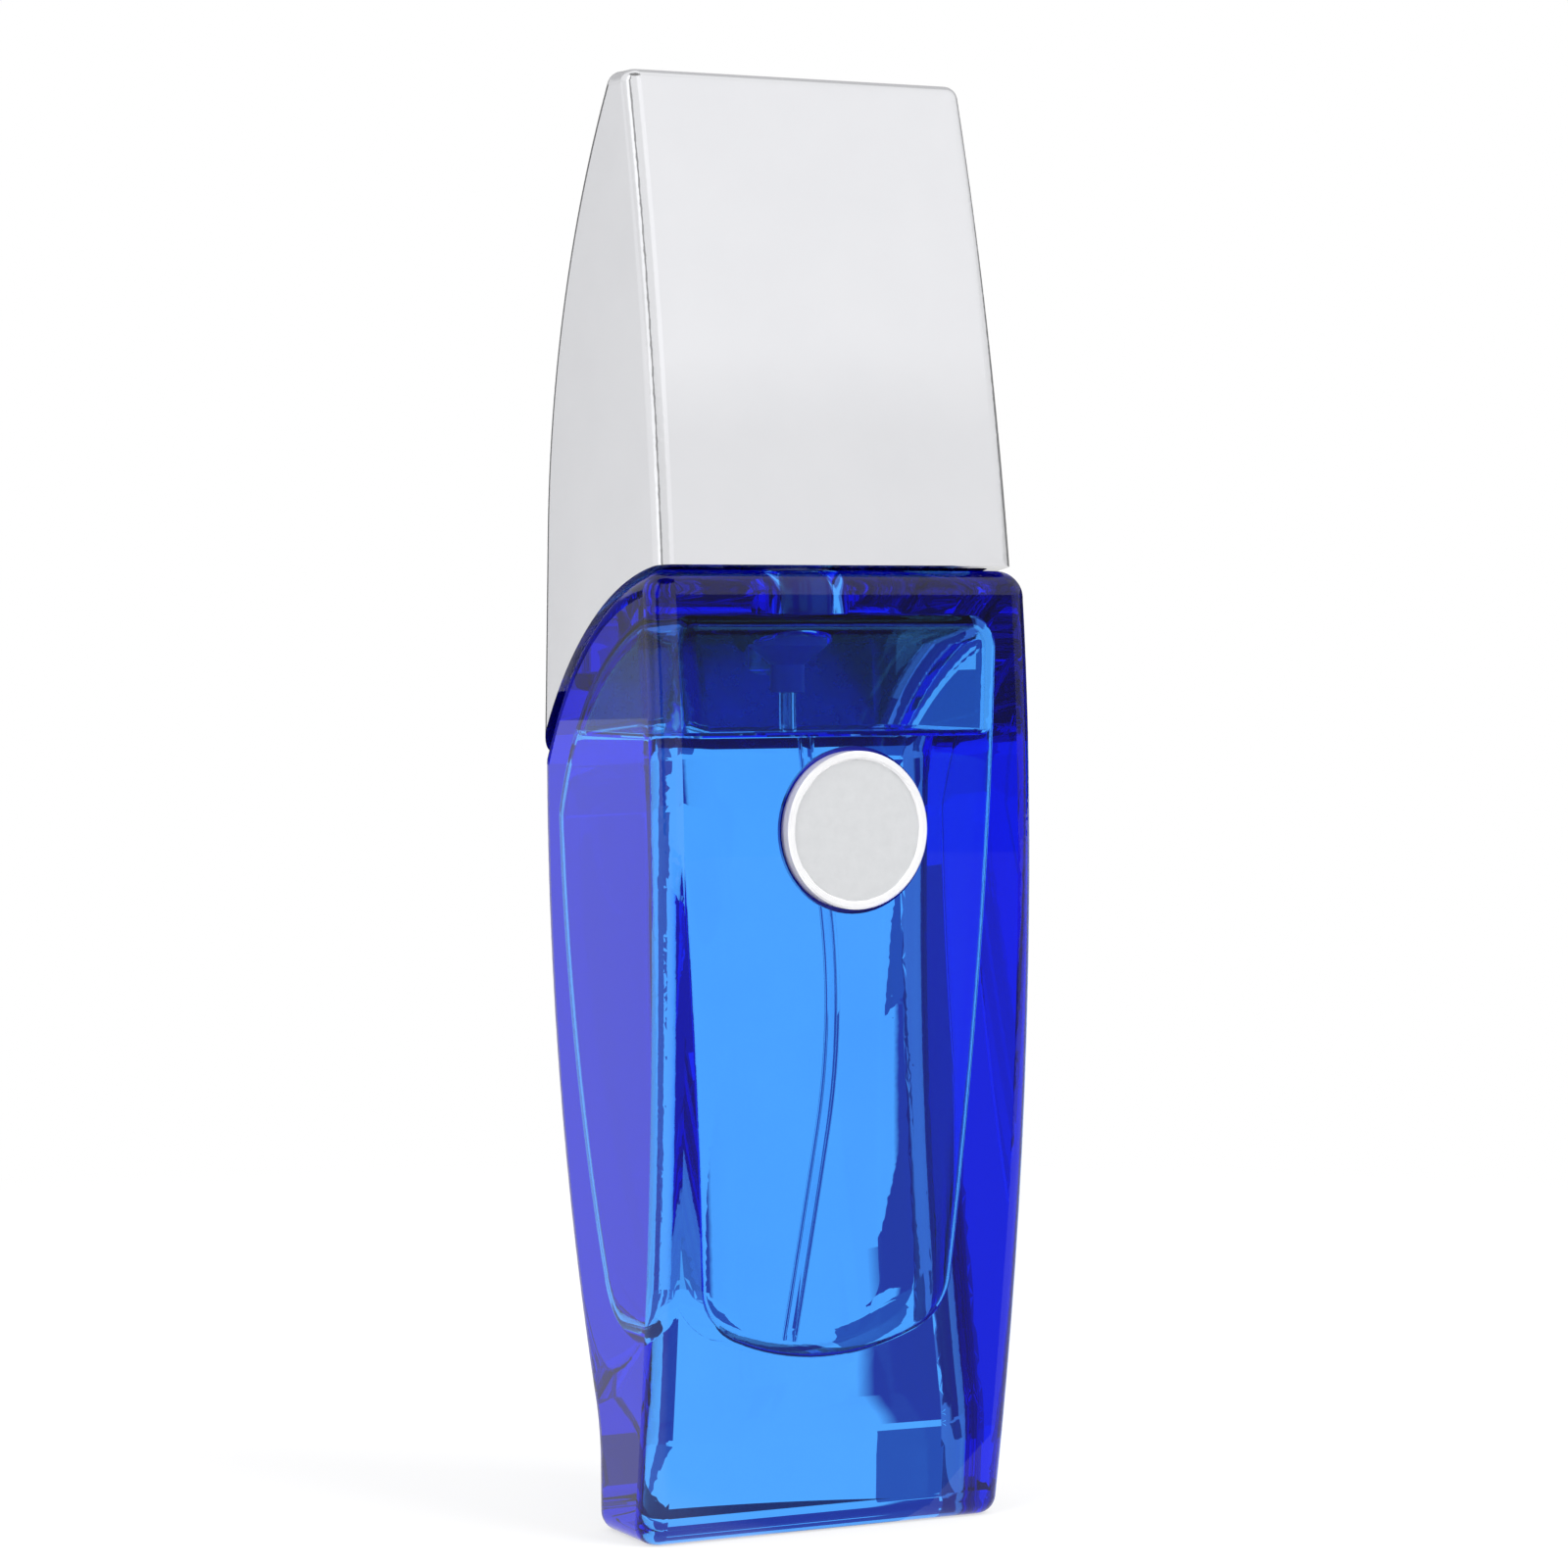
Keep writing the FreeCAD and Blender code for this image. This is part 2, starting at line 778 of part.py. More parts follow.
def cap_insert():
    socket_bore = collar_radius + insert_fit
    socket = socket_bore + insert_wall
    tube_bore = head_radius + insert_head_clearance
    tube = tube_bore + insert_tube_wall
    seat = collar_top + insert_seat_gap
    plate_bottom = head_top + insert_plate_gap
    body = turned([
        (socket_bore, collar_bottom + insert_lead),
        (socket, collar_bottom + insert_lead),
        (socket, seat + insert_wall),
        (tube, seat + insert_wall),
        (tube, plate_bottom),
        (tube_bore, plate_bottom),
        (tube_bore, seat),
        (socket_bore, seat),
    ])
    side = 4 * reach
    slab = Part.makeBox(side, side, insert_plate_thickness, Vector(-side / 2, -side / 2, plate_bottom))
    return body.fuse(slab).common(cap_hollow()).removeSplitter().Solids[0]


pieces = [
    glass_bottle,
    aftershave_liquid,
    medallion_disc,
    medallion_adhesive,
    neck_gasket,
    crimp_ferrule,
    pump_housing,
    stem_guide,
    stem_seal,
    pump_stem,
    pump_piston,
    return_spring,
    inlet_ball,
    dip_tube,
    collar_liner,
    collar_sleeve,
    head_core,
    head_shell,
    nozzle_insert,
    cap_shell,
    cap_insert,
]

for piece in pieces:
    piece().exportStep("parts/" + piece.__name__ + ".step")
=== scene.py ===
import json
import math

import bmesh
import bpy
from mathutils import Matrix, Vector
from mathutils.bvhtree import BVHTree

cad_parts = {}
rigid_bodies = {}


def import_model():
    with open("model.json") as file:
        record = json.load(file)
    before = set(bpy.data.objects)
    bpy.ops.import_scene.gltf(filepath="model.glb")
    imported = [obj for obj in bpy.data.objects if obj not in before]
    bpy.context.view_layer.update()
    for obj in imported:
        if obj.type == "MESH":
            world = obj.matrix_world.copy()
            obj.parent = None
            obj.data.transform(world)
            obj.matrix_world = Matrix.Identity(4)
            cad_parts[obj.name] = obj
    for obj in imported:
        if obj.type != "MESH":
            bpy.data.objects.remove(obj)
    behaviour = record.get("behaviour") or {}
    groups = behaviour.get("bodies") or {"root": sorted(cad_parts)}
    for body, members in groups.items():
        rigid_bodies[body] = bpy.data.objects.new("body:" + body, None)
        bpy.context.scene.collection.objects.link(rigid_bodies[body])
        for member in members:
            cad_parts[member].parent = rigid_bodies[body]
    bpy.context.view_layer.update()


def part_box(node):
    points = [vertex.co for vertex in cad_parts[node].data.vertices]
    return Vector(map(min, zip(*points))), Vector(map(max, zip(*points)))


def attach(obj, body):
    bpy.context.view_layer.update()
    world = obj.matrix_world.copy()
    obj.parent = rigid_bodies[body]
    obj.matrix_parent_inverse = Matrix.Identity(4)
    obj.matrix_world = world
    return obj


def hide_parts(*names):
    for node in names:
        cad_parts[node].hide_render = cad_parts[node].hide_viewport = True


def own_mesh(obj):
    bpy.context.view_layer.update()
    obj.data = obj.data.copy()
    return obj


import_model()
print("frame loaded")

for spare in ("Cube", "Light", "Camera"):  # what a new file starts with
    if spare in bpy.data.objects:
        bpy.data.objects.remove(bpy.data.objects[spare])
scene = bpy.context.scene
scene.view_settings.view_transform = "Standard"
scene.cycles.max_bounces = 32
scene.cycles.glossy_bounces = 24
scene.cycles.transmission_bounces = 32
scene.cycles.use_denoising = True

cameraSettings = {
    "place": (-0.25586, -0.48133, 0.10133),
    "heading": 28.008,  # degrees, turned right of straight ahead
    "pitch": 2.034,  # degrees, looking down
    "lens": 112.51,
    "sensor": 36,
    "nearest": 0.01,
}


def makeCamera(settings):
    data = bpy.data.cameras.new("photoCamera")
    data.lens = settings["lens"]
    data.sensor_width = settings["sensor"]
    data.clip_start = settings["nearest"]
    camera = bpy.data.objects.new("photoCamera", data)
    camera.location = settings["place"]
    tilt = math.radians(90 - settings["pitch"])
    camera.rotation_euler = (tilt, 0, -math.radians(settings["heading"]))
    scene.collection.objects.link(camera)
    scene.camera = camera


makeCamera(cameraSettings)
print("camera placed")


# small helpers for node trees
def addNode(tree, kind, values=None, **settings):
    node = tree.nodes.new(kind)
    for key, value in settings.items():
        setattr(node, key, value)
    for key, value in (values or {}).items():
        node.inputs[key].default_value = value
    return node


def wire(tree, start, end):
    tree.links.new(start, end)


def math2(tree, operation, first, second):
    node = addNode(tree, "ShaderNodeMath", operation=operation)
    for slot, value in enumerate((first, second)):
        if isinstance(value, (int, float)):
            node.inputs[slot].default_value = value
        else:
            wire(tree, value, node.inputs[slot])
    return node.outputs[0]


def rampOf(tree, source, stops):
    node = addNode(tree, "ShaderNodeValToRGB")
    elements = node.color_ramp.elements
    while len(elements) > 1:
        elements.remove(elements[-1])
    place, level = stops[0]
    elements[0].position = place
    elements[0].color = (level, level, level, 1)
    for place, level in stops[1:]:
        elements.new(place).color = (level, level, level, 1)
    wire(tree, source, node.inputs["Fac"])
    return node.outputs["Color"]


def mapRange(tree, source, limits, interpolation="LINEAR"):
    node = addNode(tree, "ShaderNodeMapRange", limits, interpolation_type=interpolation)
    wire(tree, source, node.inputs["Value"])
    return node.outputs[0]


def between(tree, value, low, high):
    above = math2(tree, "GREATER_THAN", value, low)
    below = math2(tree, "LESS_THAN", value, high)
    return math2(tree, "MULTIPLY", above, below)


def distanceAlong(tree, place, direction):
    node = addNode(tree, "ShaderNodeVectorMath", {1: direction}, operation="DOT_PRODUCT")
    wire(tree, place, node.inputs[0])
    return node.outputs["Value"]


def mixColors(tree, share, first, second):
    node = addNode(tree, "ShaderNodeMix", data_type="RGBA")
    wire(tree, share, node.inputs[0])
    for slot, value in ((6, first), (7, second)):  # the two colour sockets
        if isinstance(value, tuple):
            node.inputs[slot].default_value = value
        else:
            wire(tree, value, node.inputs[slot])
    return node.outputs[2]


def mixShaders(tree, share, first, second):
    node = addNode(tree, "ShaderNodeMixShader")
    for slot, value in enumerate((share, first, second)):
        wire(tree, value, node.inputs[slot])
    return node.outputs[0]


# heights are the upward part of a direction, from 0 at the horizon to 1 overhead
studioSettings = {
    "turn": 28.0,  # degrees, so that the backdrop faces the camera
    "white": (1.0, 1.0, 1.0, 1.0),
    "fill": (0.80, 0.80, 0.81, 1.0),  # light on matt surfaces
    # rings of light: degrees right of the backdrop's middle, and brightness there
    "mirrored": [
        (-180, 0.78), (-150, 0.78), (-147, 0.20), (-136, 0.20), (-133, 1.15), (-116, 1.15), (-110, 0.86),
        (-75, 0.84), (-58, 0.82), (-50, 0.74), (-46, 0.07), (-3, 0.07), (0, 0.30), (3, 0.07), (58, 0.07),
        (68, 0.55), (110, 0.55), (117, 0.12), (128, 0.25), (136, 0.95), (154, 0.95), (164, 0.78), (180, 0.78),
    ],
    "overhead": [
        (-180, 0.78), (-150, 0.78), (-147, 0.20), (-136, 0.20), (-133, 1.15), (-116, 1.15), (-110, 0.86),
        (-75, 0.84), (-48, 0.80), (-40, 0.48), (40, 0.48), (60, 0.80), (124, 0.88), (136, 0.98),
        (154, 0.98), (164, 0.78), (180, 0.78),
    ],
    "zenith": [(-180, 0.05), (-100, 0.05), (-80, 0.88), (80, 0.88), (100, 0.05), (180, 0.05)],
    "refracted": [
        (-180, 0.25), (-150, 0.30), (-110, 0.40), (-90, 0.55), (-76, 0.92), (-26, 0.92), (-3, 1.08),
        (10, 1.08), (30, 0.92), (150, 0.86), (165, 0.60), (180, 0.25),
    ],
    "overheadFrom": {"From Min": 0.175, "From Max": 0.205},
    "overheadRise": {"From Min": 0.30, "From Max": 0.36, "To Min": 0.90, "To Max": 1.02},
    "zenithFrom": {"From Min": 0.85, "From Max": 0.90},
    "cool": (0.98, 0.985, 1.015, 1.0),
    # painted shadow: the bottle's own blue shadow to either side of the white card behind the bottle, in
    # degrees by height
    "paintedShadow": (0.12, 0.10, 0.38, 1.0),
    "paintedShadowTop": 0.335,
    "paintedShadowEnds": (-22.0, 20.0),
    "cardTop": 0.132,
    "cardLeft": {"heights": (0.04, 0.06), "degrees": (-9.5, -2.8)},
    "cardRight": {"heights": (0.0125, 0.0165), "degrees": (7.0, 0.71)},
    "cardFade": 1.3,
}


def makeWorld(settings):
    world = bpy.data.worlds.new("studio")
    scene.world = world
    world.use_nodes = True
    tree = world.node_tree
    tree.nodes.clear()
    coords = addNode(tree, "ShaderNodeTexCoord")
    turned = addNode(tree, "ShaderNodeVectorRotate", rotation_type="Z_AXIS")
    turned.inputs["Angle"].default_value = math.radians(settings["turn"])
    wire(tree, coords.outputs["Generated"], turned.inputs["Vector"])
    parts = addNode(tree, "ShaderNodeSeparateXYZ")
    wire(tree, turned.outputs[0], parts.inputs[0])
    height = parts.outputs["Z"]
    bearing = math2(tree, "ARCTAN2", parts.outputs["X"], parts.outputs["Y"])
    around = math2(tree, "MULTIPLY_ADD", bearing, 0.5 / math.pi)  # a whole turn goes from 0 to 1
    around.node.inputs[2].default_value = 0.5

    def ringOf(name):
        return rampOf(tree, around, [((place + 180) / 360, level) for place, level in settings[name]])

    overhead = addNode(tree, "ShaderNodeVectorMath", operation="SCALE")
    wire(tree, ringOf("overhead"), overhead.inputs[0])
    wire(tree, mapRange(tree, height, settings["overheadRise"]), overhead.inputs["Scale"])
    upper = mapRange(tree, height, settings["overheadFrom"], "SMOOTHSTEP")
    mirrored = mixColors(tree, upper, ringOf("mirrored"), overhead.outputs[0])
    top = mapRange(tree, height, settings["zenithFrom"], "SMOOTHSTEP")
    mirrored = mixColors(tree, top, mirrored, ringOf("zenith"))
    cooled = addNode(tree, "ShaderNodeMix", data_type="RGBA", blend_type="MULTIPLY")
    cooled.inputs[0].default_value = 1.0
    cooled.inputs[7].default_value = settings["cool"]
    wire(tree, mirrored, cooled.inputs[6])

    def beyond(name):  # 0 on the card, 1 well past its edge
        low, high = settings[name]["heights"]
        start, end = (math.radians(angle) for angle in settings[name]["degrees"])
        edge = mapRange(tree, height, {"From Min": low, "From Max": high, "To Min": start, "To Max": end})
        side = mapRange(tree, bearing, {})
        wire(tree, edge, side.node.inputs["From Min"])
        wire(tree, math2(tree, "MULTIPLY", edge, settings["cardFade"]), side.node.inputs["From Max"])
        return side

    # painted shadow of the bottle beside and above the white card, seen only through the glass
    paintedShadow = math2(tree, "MAXIMUM", beyond("cardLeft"), beyond("cardRight"))
    paintedShadow = math2(tree, "MAXIMUM", paintedShadow, math2(tree, "GREATER_THAN", height, settings["cardTop"]))
    ends = [math.radians(angle) for angle in settings["paintedShadowEnds"]]
    paintedShadow = math2(tree, "MULTIPLY", paintedShadow, between(tree, bearing, *ends))
    paintedShadow = math2(tree, "MULTIPLY", paintedShadow, math2(tree, "LESS_THAN", height, settings["paintedShadowTop"]))
    refracted = mixColors(tree, paintedShadow, ringOf("refracted"), settings["paintedShadow"])
    path = addNode(tree, "ShaderNodeLightPath")
    shown = mixColors(tree, path.outputs["Is Glossy Ray"], settings["fill"], cooled.outputs[2])
    shown = mixColors(tree, path.outputs["Is Transmission Ray"], shown, refracted)
    shown = mixColors(tree, path.outputs["Is Camera Ray"], shown, settings["white"])
    background = addNode(tree, "ShaderNodeBackground")
    output = addNode(tree, "ShaderNodeOutputWorld")
    wire(tree, shown, background.inputs["Color"])
    wire(tree, background.outputs[0], output.inputs["Surface"])


makeWorld(studioSettings)

# slants are the distance across over the distance away
floorSettings = {
    "size": 6.0,
    "cuts": 8,
    "white": (1.0, 1.0, 1.0, 1.0),
    "paper": {"To Min": 0.92, "To Max": 0.95},
    "grain": {"Scale": 30.0, "Detail": 3.0},
    "shade": {"From Min": 0.05, "From Max": 0.35, "To Min": 0.62, "To Max": 1.0},  # the shadow fades out
    "across": (0.8775, -0.4796, 0.0),  # to the camera's right
    "ahead": (0.4796, 0.8775, 0.0),  # away from the camera
    # seen through the glass: the white card's ground, and painted shadow of the bottle right and left of it
    "card": (1.09, 1.09, 1.09, 1.0),
    "edgeNear": 0.0077,
    "edgeFar": {"From Min": 1.45, "From Max": 1.55, "To Min": 0.0, "To Max": 0.21},
    "rightSlant": 0.36,
    "leftSlants": (-0.375, -0.15),
    "leftReach": (0.15, 0.75),
    "paintedShadow": (0.16, 0.20, 0.46, 1.0),
    "contact": 0.036,  # painted contact shadow: the dark ground under the foot
    "contactShadowColor": (0.03, 0.03, 0.12, 1.0),
    # mirrored in metal and glass: dimmer in front and to the right
    "mirrored": (0.80, 0.80, 0.80, 1.0),
    "mirroredDim": (0.30, 0.30, 0.30, 1.0),
    "dimSlants": {"From Min": -0.3, "From Max": 0.1},
    "dimAhead": -0.25,
}


def makeFloor(settings):
    bpy.ops.object.select_all(action="DESELECT")
    cuts = settings["cuts"]
    bpy.ops.mesh.primitive_grid_add(x_subdivisions=cuts, y_subdivisions=cuts, size=settings["size"])
    floor = bpy.context.active_object
    floor.name = "floor"
    material = bpy.data.materials.new("paleFloor")
    material.use_nodes = True
    tree = material.node_tree
    tree.nodes.clear()
    place = addNode(tree, "ShaderNodeTexCoord").outputs["Object"]
    grain = addNode(tree, "ShaderNodeTexNoise", settings["grain"])
    wire(tree, place, grain.inputs["Vector"])
    matt = addNode(tree, "ShaderNodeBsdfDiffuse")
    wire(tree, mapRange(tree, grain.outputs[0], settings["paper"]), matt.inputs["Color"])
    length = addNode(tree, "ShaderNodeVectorMath", operation="LENGTH")
    wire(tree, place, length.inputs[0])
    away = length.outputs["Value"]
    across = distanceAlong(tree, place, settings["across"])
    ahead = distanceAlong(tree, place, settings["ahead"])
    slant = math2(tree, "DIVIDE", across, away)
    path = addNode(tree, "ShaderNodeLightPath")
    glossy = path.outputs["Is Glossy Ray"]
    refracted = path.outputs["Is Transmission Ray"]

    # painted shadow: the ground near the bottle, right and left of the white card, darkened for rays through
    # the glass
    edge = math2(tree, "MAXIMUM", mapRange(tree, away, settings["edgeFar"]), settings["edgeNear"])
    right = between(tree, across, edge, math2(tree, "MULTIPLY", away, settings["rightSlant"]))
    left = between(tree, slant, *settings["leftSlants"])
    left = math2(tree, "MULTIPLY", left, between(tree, away, *settings["leftReach"]))
    paintedShadow = math2(tree, "MAXIMUM", right, left)
    through = mixColors(tree, paintedShadow, settings["card"], settings["paintedShadow"])
    # painted contact shadow under the foot, for rays through the glass
    inContactShadow = math2(tree, "LESS_THAN", away, settings["contact"])
    through = mixColors(tree, inContactShadow, through, settings["contactShadowColor"])

    dim = math2(tree, "LESS_THAN", ahead, math2(tree, "MULTIPLY", away, settings["dimAhead"]))
    dim = math2(tree, "MULTIPLY", dim, mapRange(tree, slant, settings["dimSlants"], "SMOOTHSTEP"))
    mirrored = mixColors(tree, dim, settings["mirrored"], settings["mirroredDim"])

    color = mixColors(tree, glossy, settings["white"], mirrored)
    color = mixColors(tree, refracted, color, through)
    glow = addNode(tree, "ShaderNodeEmission", {"Strength": 1.0})
    wire(tree, color, glow.inputs["Color"])
    plain = math2(tree, "MULTIPLY", mapRange(tree, away, settings["shade"]), path.outputs["Is Camera Ray"])
    share = math2(tree, "MAXIMUM", plain, math2(tree, "MAXIMUM", glossy, refracted))
    output = addNode(tree, "ShaderNodeOutputMaterial")
    wire(tree, mixShaders(tree, share, matt.outputs[0], glow.outputs[0]), output.inputs["Surface"])
    floor.data.materials.append(material)


makeFloor(floorSettings)

lampSettings = {
    "aim": (0, 0, 0.08),
    "lamps": [
        {"name": "keyLamp", "place": (0.45, -0.75, 0.75), "size": 0.7, "power": 9.0},
        {"name": "fillLamp", "place": (-0.80, -0.25, 0.60), "size": 0.8, "power": 6.0},
    ],
}


def makeLamps(settings):
    for lamp in settings["lamps"]:
        data = bpy.data.lights.new(lamp["name"], "AREA")
        data.size = lamp["size"]
        data.energy = lamp["power"]
        light = bpy.data.objects.new(lamp["name"], data)
        light.location = lamp["place"]
        beam = Vector(settings["aim"]) - light.location
        light.rotation_euler = beam.to_track_quat("-Z", "Y").to_euler()
        light.visible_glossy = False
        light.visible_transmission = False
        light.visible_camera = False
        scene.collection.objects.link(light)


makeLamps(lampSettings)
print("studio lit")


# a principled material with plain socket values
def newFinish(name, **sockets):
    material = bpy.data.materials.new(name)
    material.use_nodes = True
    tree = material.node_tree
    shader = tree.nodes["Principled BSDF"]
    for key, value in sockets.items():
        shader.inputs[key.replace("_", " ")].default_value = value
    return material, tree, shader


speckleSettings = {
    "noise": {"Detail": 5.0, "Roughness": 0.6},
    "contrast": {"From Min": 0.3, "From Max": 0.7},
    "inputs": ("Scale", "Low", "High"),
    "outputs": ("Value", "Cloud"),
    "glossScale": 1.7,  # the gloss is finer than the colour
    "bumpDistance": 0.00005,
}


def speckleGroup(settings):
    tree = bpy.data.node_groups.new("speckle", "ShaderNodeTree")
    for way, names in (("INPUT", settings["inputs"]), ("OUTPUT", settings["outputs"])):
        for name in names:
            tree.interface.new_socket(name, in_out=way, socket_type="NodeSocketFloat")
    start = addNode(tree, "NodeGroupInput")
    end = addNode(tree, "NodeGroupOutput")
    coords = addNode(tree, "ShaderNodeTexCoord")
    noise = addNode(tree, "ShaderNodeTexNoise", settings["noise"])
    wire(tree, coords.outputs["Object"], noise.inputs["Vector"])
    wire(tree, start.outputs["Scale"], noise.inputs["Scale"])
    level = addNode(tree, "ShaderNodeMapRange", settings["contrast"])
    wire(tree, noise.outputs[0], level.inputs["Value"])
    wire(tree, start.outputs["Low"], level.inputs["To Min"])
    wire(tree, start.outputs["High"], level.inputs["To Max"])
    wire(tree, level.outputs[0], end.inputs["Value"])
    wire(tree, noise.outputs[0], end.inputs["Cloud"])
    return tree


speckle = speckleGroup(speckleSettings)


def addSpeckle(tree, scale, low=0.0, high=1.0):
    node = addNode(tree, "ShaderNodeGroup")
    node.node_tree = speckle
    for key, value in (("Scale", scale), ("Low", low), ("High", high)):
        node.inputs[key].default_value = value
    return node


# metal, plastic or rubber that clouds a little from dark to light
def mottledFinish(name, look):
    material, tree, shader = newFinish(name, Metallic=look.get("metal", 0.0))
    cloud = addSpeckle(tree, look["scale"])
    shade = mixColors(tree, cloud.outputs["Value"], (*look["dark"], 1), (*look["light"], 1))
    wire(tree, shade, shader.inputs["Base Color"])
    gloss = addSpeckle(tree, look["scale"] * speckleSettings["glossScale"], *look["roughness"])
    wire(tree, gloss.outputs["Value"], shader.inputs["Roughness"])
    if "bump" in look:
        relief = addNode(tree, "ShaderNodeBump", {"Strength": look["bump"]})
        relief.inputs["Distance"].default_value = speckleSettings["bumpDistance"]
        wire(tree, cloud.outputs["Cloud"], relief.inputs["Height"])
        wire(tree, relief.outputs[0], shader.inputs["Normal"])
    return material


# see-through finish that clouds a little from thin to thick
def clearFinish(name, look, ior):
    roughness = look.get("roughness", 0.0)
    material, tree, shader = newFinish(name, Transmission_Weight=1.0, IOR=ior, Roughness=roughness)
    cloud = addSpeckle(tree, look["scale"], look.get("low", 0.0))
    shade = mixColors(tree, cloud.outputs["Value"], (*look["thin"], 1), (*look["thick"], 1))
    wire(tree, shade, shader.inputs["Base Color"])
    return material, tree, shader


def dress(node, material):
    bpy.data.objects[node].material_slots[0].material = material


insideSettings = {
    "lift": 0.00002,  # a ray starts this far off its own face
    "reach": 0.2,
    "inward": -0.4,  # with across, a face that leans this far to the middle is inside too
}


# a second finish for the faces of a hollow piece that look at its own walls or across its middle
def splitInside(node, material, nearest=-1.0, across=False):
    piece = bpy.data.objects[node]
    piece.data.materials.append(material)
    second = len(piece.data.materials) - 1
    inside = 0
    for polygon in piece.data.polygons:
        start = polygon.center + polygon.normal * insideSettings["lift"]
        facing = piece.ray_cast(start, polygon.normal, distance=insideSettings["reach"])[0]
        outward = polygon.normal.xy.dot(polygon.center.xy.normalized())
        facing = facing or (across and outward < insideSettings["inward"])
        if polygon.center.y > nearest and facing:
            polygon.material_index = second
            inside += 1
    return inside


liquidSettings = {
    "level": 0.088,
    "ior": 1.36,
    "merge": 0.000002,
    "overlap": 0.0001,  # reaches this far into the glass, so no air shows between
    "menisci": [(0.0003, -0.00035), (0.0004, -0.00022), (0.0006, -0.00012)],  # inset and drop of each step
    "topSlack": 0.00001,
    "channelReach": 0.01,  # the dip tube's channel is looked for this far down
    "surfaceDepth": 0.0015,
    "surfaceTilt": 0.3,
    "normalReach": 0.00001,
    "normalMatch": 0.9,
    "look": {"scale": 25.0, "thin": (0.92, 0.97, 1.0), "thick": (0.95, 0.98, 1.0)},
}

# blue lacquer on the outside of the glass, clear glass on the inside
glassSettings = {
    "ior": 1.5,
    "lacquer": {"scale": 60.0, "thin": (0.068, 0.37, 1.0), "thick": (0.060, 0.345, 1.0)},
    # painted shade: darker blue on the rounded corners at the back
    "corner": {"scale": 60.0, "thin": (0.012, 0.045, 0.34), "thick": (0.010, 0.038, 0.30)},
    "cornerTurn": 0.08,  # a corner's faces lean at least this far to the side and to the back
    "guided": (0.015, 0.03, 0.80, 1.0),  # light turned back inside the lacquer
    "guidedFrom": 0.98,
    "clear": {"scale": 80.0, "low": 0.96, "thin": (0.90, 0.96, 1.0), "thick": (0.94, 0.98, 1.0)},
    "pocketMargin": 0.0001,  # the pocket's own faces end this far behind the film
}


def lacqueredGlass(name, look, settings):
    material, tree, shader = clearFinish(name, look, settings["ior"])
    side = addNode(tree, "ShaderNodeNewGeometry")
    fresnel = addNode(tree, "ShaderNodeFresnel", {"IOR": settings["ior"]})
    turnedBack = math2(tree, "GREATER_THAN", fresnel.outputs[0], settings["guidedFrom"])
    turnedBack = math2(tree, "MULTIPLY", turnedBack, side.outputs["Backfacing"])
    mirror = addNode(tree, "ShaderNodeBsdfAnisotropic", {"Color": settings["guided"], "Roughness": 0.0})
    mixed = mixShaders(tree, turnedBack, shader.outputs[0], mirror.outputs[0])
    wire(tree, mixed, tree.nodes["Material Output"].inputs["Surface"])
    return material


# below the liquid's level a wall bends light only by its step to the liquid
def wetBelow(tree, shader, dry):
    coords = addNode(tree, "ShaderNodeTexCoord")
    parts = addNode(tree, "ShaderNodeSeparateXYZ")
    wire(tree, coords.outputs["Object"], parts.inputs[0])
    above = math2(tree, "GREATER_THAN", parts.outputs["Z"], liquidSettings["level"])
    step = mapRange(tree, above, {"To Min": dry / liquidSettings["ior"], "To Max": dry})
    wire(tree, step, shader.inputs["IOR"])


def dressGlass(settings):
    dress("glass_bottle", lacqueredGlass("blueGlass", settings["lacquer"], settings))
    clear, tree, shader = clearFinish("clearInside", settings["clear"], settings["ior"])
    wetBelow(tree, shader, settings["ior"])
    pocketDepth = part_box("medallion_adhesive")[1].y + settings["pocketMargin"]
    print("glass dressed,", splitInside("glass_bottle", clear, pocketDepth), "faces inside")


dressGlass(glassSettings)

pocketSettings = {
    "radius": 0.0095,
    "height": 0.0775,
    "depths": (0.00005, 0.0012),
    "scale": 400.0,
    # painted shade in the pocket, from dark to light
    "dark": (0.004, 0.010, 0.36, 1.0),
    "light": (0.006, 0.014, 0.44, 1.0),
    "behind": (0.50, 0.53, 0.58, 1.0),  # the film as seen through the glass from the back
    "glossScale": 700.0,
    "roughness": (0.16, 0.24),
}


# painted shade: dark navy in the pocket round the medallion
def darkenPocket(settings):
    material, tree, shader = newFinish("pocketShade")
    cloud = addSpeckle(tree, settings["scale"])
    # painted shade: the pocket's mottled dark navy, on the faces seen from the front
    lacquer = mixColors(tree, cloud.outputs["Value"], settings["dark"], settings["light"])
    side = addNode(tree, "ShaderNodeNewGeometry")
    shade = mixColors(tree, side.outputs["Backfacing"], lacquer, settings["behind"])
    wire(tree, shade, shader.inputs["Base Color"])
    wire(tree, side.outputs["Backfacing"], shader.inputs["Metallic"])
    gloss = addSpeckle(tree, settings["glossScale"], *settings["roughness"])
    wire(tree, gloss.outputs["Value"], shader.inputs["Roughness"])
    glass = bpy.data.objects["glass_bottle"]
    glass.data.materials.append(material)
    pocketShadeSlot = len(glass.data.materials) - 1
    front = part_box("glass_bottle")[0].y
    shallow, deep = settings["depths"]
    darkened = 0
    for polygon in glass.data.polygons:
        away = math.hypot(polygon.center.x, polygon.center.z - settings["height"])
        if away < settings["radius"] and shallow < polygon.center.y - front < deep:
            polygon.material_index = pocketShadeSlot
            darkened += 1
    print("pocket darkened,", darkened, "faces")


darkenPocket(pocketSettings)


